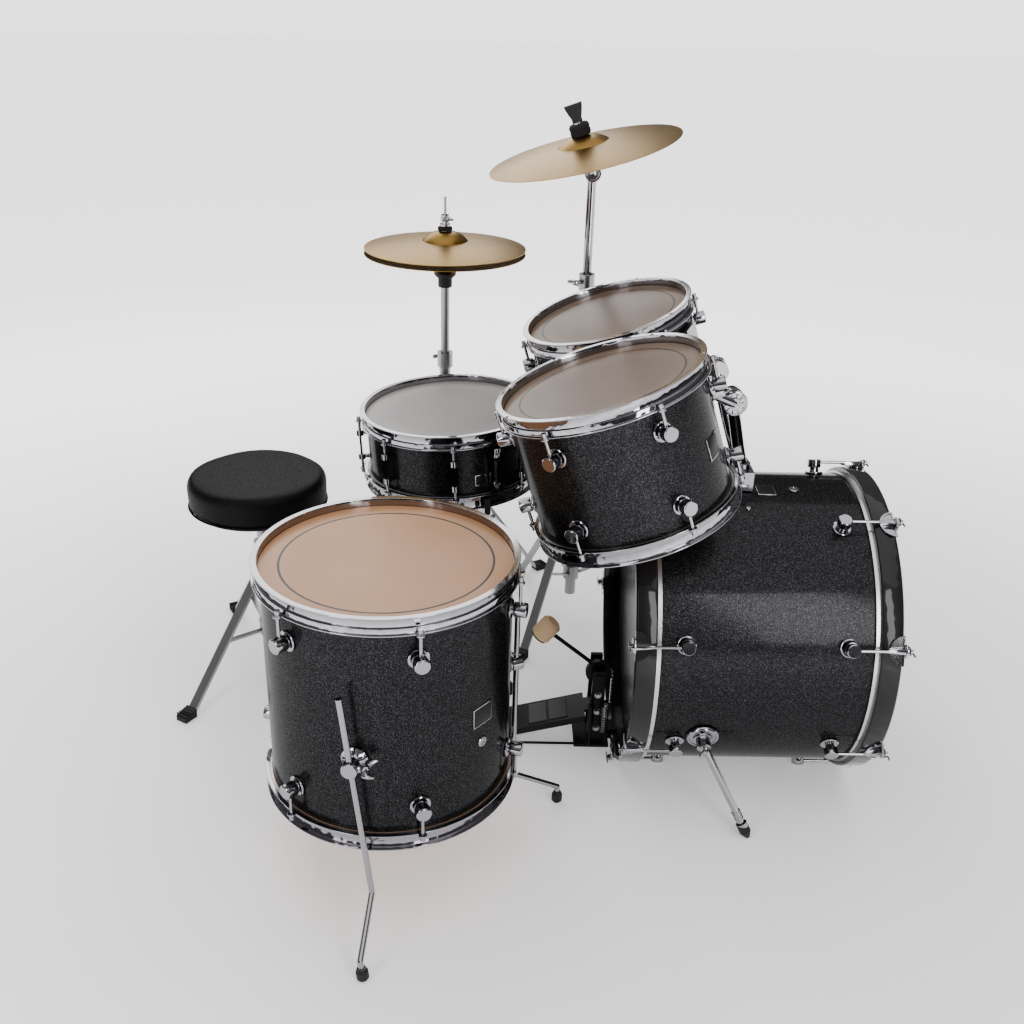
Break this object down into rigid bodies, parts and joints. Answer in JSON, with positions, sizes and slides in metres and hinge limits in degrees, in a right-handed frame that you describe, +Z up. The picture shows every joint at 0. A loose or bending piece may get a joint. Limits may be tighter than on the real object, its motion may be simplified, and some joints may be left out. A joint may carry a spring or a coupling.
{
  "type": "acoustic drum kit",
  "caption": "Acoustic drum kit: bass drum with pedal, floor tom, rack toms, snare drum on its stand, hi-hat, crash cymbal and round throne.",
  "frame": {"origin": "on the floor under the bass pedal's axle, on the bass drum's centre line", "axes": "+Z up, bass drum axis along Y with the drummer on the +Y side, drummer's right towards -X"},
  "size_m": [1.4093, 1.3762, 1.172],
  "materials": {
    "sparkle_wrap": "black sparkle wrap",
    "black_head": "smooth black film",
    "clear_head": "clear two-ply film over a dark drum",
    "coated_head": "coated white film",
    "black_wood": "black lacquer",
    "chrome_plate": "polished chrome",
    "satin_steel": "bright satin plate",
    "black_rubber": "ribbed moulded rubber",
    "bronze": "lathed bronze",
    "black_metal": "black powder coat",
    "beater_felt": "pressed felt",
    "black_vinyl": "grained vinyl"
  },
  "bodies": {
    "kit_base": {"bass_shell": "sparkle_wrap", "bass_heads": "black_head", "bass_hoops": "black_wood", "bass_lugs": "chrome_plate", "bass_claws": "chrome_plate", "bass_t_rods": "chrome_plate", "bass_brackets": "chrome_plate", "floor_tom_shell": "sparkle_wrap", "floor_tom_heads": "clear_head", "floor_tom_hoops": "chrome_plate", "floor_tom_lugs": "chrome_plate", "floor_tom_rods": "chrome_plate", "floor_tom_leg_brackets": "chrome_plate", "pedal_frame": "black_metal", "hihat_tripod": "satin_steel", "cymbal_tripod": "satin_steel", "snare_tripod": "satin_steel", "throne_tripod": "satin_steel", "stand_feet": "black_rubber", "hihat_bottom_cymbal": "bronze"},
    "spur_left": {"spur_left": "chrome_plate"},
    "spur_right": {"spur_right": "chrome_plate"},
    "floor_leg_back": {"floor_tom_leg_back": "chrome_plate"},
    "floor_leg_outer": {"floor_tom_leg_outer": "chrome_plate"},
    "floor_leg_front": {"floor_tom_leg_front": "chrome_plate"},
    "pedal_board": {"pedal_footboard": "black_metal", "pedal_chain": "chrome_plate"},
    "beater": {"pedal_beater_shaft": "black_metal", "pedal_beater": "beater_felt"},
    "hihat_board": {"hihat_footboard": "black_metal"},
    "hihat_top": {"hihat_pull_rod": "chrome_plate", "hihat_top_cymbal": "bronze"},
    "cymbal_tube": {"cymbal_upper_tube": "chrome_plate"},
    "tilter": {"cymbal_tilter": "chrome_plate"},
    "crash": {"crash_cymbal": "bronze"},
    "snare": {"snare_basket": "chrome_plate", "snare_shell": "sparkle_wrap", "snare_heads": "coated_head", "snare_hoops": "chrome_plate", "snare_lugs": "chrome_plate", "snare_rods": "chrome_plate", "snare_wires": "chrome_plate", "snare_strainer": "chrome_plate"},
    "strainer_lever": {"snare_strainer_lever": "chrome_plate"},
    "tom_near_holder": {"tom_near_post": "chrome_plate"},
    "tom_near": {"tom_near_bracket": "chrome_plate", "tom_near_shell": "sparkle_wrap", "tom_near_heads": "clear_head", "tom_near_hoops": "chrome_plate", "tom_near_lugs": "chrome_plate", "tom_near_rods": "chrome_plate"},
    "tom_far_holder": {"tom_far_post": "chrome_plate"},
    "tom_far": {"tom_far_bracket": "chrome_plate", "tom_far_shell": "sparkle_wrap", "tom_far_heads": "clear_head", "tom_far_hoops": "chrome_plate", "tom_far_lugs": "chrome_plate", "tom_far_rods": "chrome_plate"},
    "throne_post": {"throne_post": "chrome_plate"},
    "throne_seat": {"throne_seat": "black_vinyl"}
  },
  "joints": [
    {"name": "spur_right_fold", "type": "hinge", "parent": "kit_base", "child": "spur_right", "pos_m": [-0.27542, -0.169, 0.17909], "axis": [-0.9205, 0, -0.3907], "range_deg": [0, 70]},
    {"name": "spur_left_fold", "type": "hinge", "parent": "kit_base", "child": "spur_left", "pos_m": [0.27542, -0.169, 0.17909], "axis": [-0.9205, 0, 0.3907], "range_deg": [0, 70]},
    {"name": "floor_leg_back_slide", "type": "slide", "parent": "kit_base", "child": "floor_leg_back", "axis": [0, 0, 1], "range_m": [0, 0.08]},
    {"name": "floor_leg_outer_slide", "type": "slide", "parent": "kit_base", "child": "floor_leg_outer", "axis": [0.0194, 0.1098, 0.9938], "range_m": [0, 0.08]},
    {"name": "floor_leg_front_slide", "type": "slide", "parent": "kit_base", "child": "floor_leg_front", "axis": [0, 0, 1], "range_m": [0, 0.08]},
    {"name": "pedal_press", "type": "hinge", "parent": "kit_base", "child": "pedal_board", "pos_m": [0, 0.205, 0.02], "axis": [1, 0, 0], "range_deg": [0, 8.1]},
    {"name": "beater_swing", "type": "hinge", "parent": "kit_base", "child": "beater", "pos_m": [0, 0, 0.162], "axis": [1, 0, 0], "range_deg": [0, 65], "stiffness_Nm_per_rad": 0.6, "springref_deg": -51.57},
    {"name": "hihat_press", "type": "hinge", "parent": "kit_base", "child": "hihat_board", "pos_m": [0.40972, 0.55062, 0.02], "axis": [0.8192, 0.5736, 0], "range_deg": [0, 1.95]},
    {"name": "hihat_close", "type": "slide", "parent": "kit_base", "child": "hihat_top", "axis": [0, 0, -1], "range_m": [0, 0.009], "stiffness_N_per_m": 800, "springref_m": -0.045},
    {"name": "cymbal_height", "type": "slide", "parent": "kit_base", "child": "cymbal_tube", "axis": [0, 0, 1], "range_m": [-0.06, 0.15]},
    {"name": "cymbal_tilt", "type": "hinge", "parent": "cymbal_tube", "child": "tilter", "pos_m": [0.494, 0.026, 1.06], "axis": [1, 0, 0], "range_deg": [-20, 30]},
    {"name": "crash_rock", "type": "hinge", "parent": "tilter", "child": "crash", "pos_m": [0.49037, 0.05231, 1.13228], "axis": [1, 0, 0], "range_deg": [-7, 2]},
    {"name": "snare_height", "type": "slide", "parent": "kit_base", "child": "snare", "axis": [0, 0, 1], "range_m": [0, 0.06]},
    {"name": "strainer_throw", "type": "hinge", "parent": "snare", "child": "strainer_lever", "pos_m": [0.15327, 0.20629, 0.49177], "axis": [-0.857, -0.5152, 0.0105], "range_deg": [0, 80]},
    {"name": "tom_near_height", "type": "slide", "parent": "kit_base", "child": "tom_near_holder", "axis": [0, 0, 1], "range_m": [0, 0.02]},
    {"name": "tom_near_tilt", "type": "hinge", "parent": "tom_near_holder", "child": "tom_near", "pos_m": [-0.0799, -0.19287, 0.768], "axis": [1, 0, 0], "range_deg": [0, 14]},
    {"name": "tom_far_height", "type": "slide", "parent": "kit_base", "child": "tom_far_holder", "axis": [0, 0, 1], "range_m": [0, 0.02]},
    {"name": "tom_far_tilt", "type": "hinge", "parent": "tom_far_holder", "child": "tom_far", "pos_m": [0.0799, -0.19287, 0.768], "axis": [1, 0, 0], "range_deg": [0, 14]},
    {"name": "throne_height", "type": "slide", "parent": "kit_base", "child": "throne_post", "axis": [0, 0, 1], "range_m": [0, 0.12]},
    {"name": "throne_spin", "type": "hinge", "parent": "throne_post", "child": "throne_seat", "pos_m": [0.25, 0.717, 0.394], "axis": [0, 0, 1], "continuous": true}
  ],
  "couplings": [
    {"joint": "beater_swing", "follows": "pedal_press", "ratio": 8},
    {"joint": "hihat_close", "follows": "hihat_press", "m_per_rad": 0.262}
  ]
}
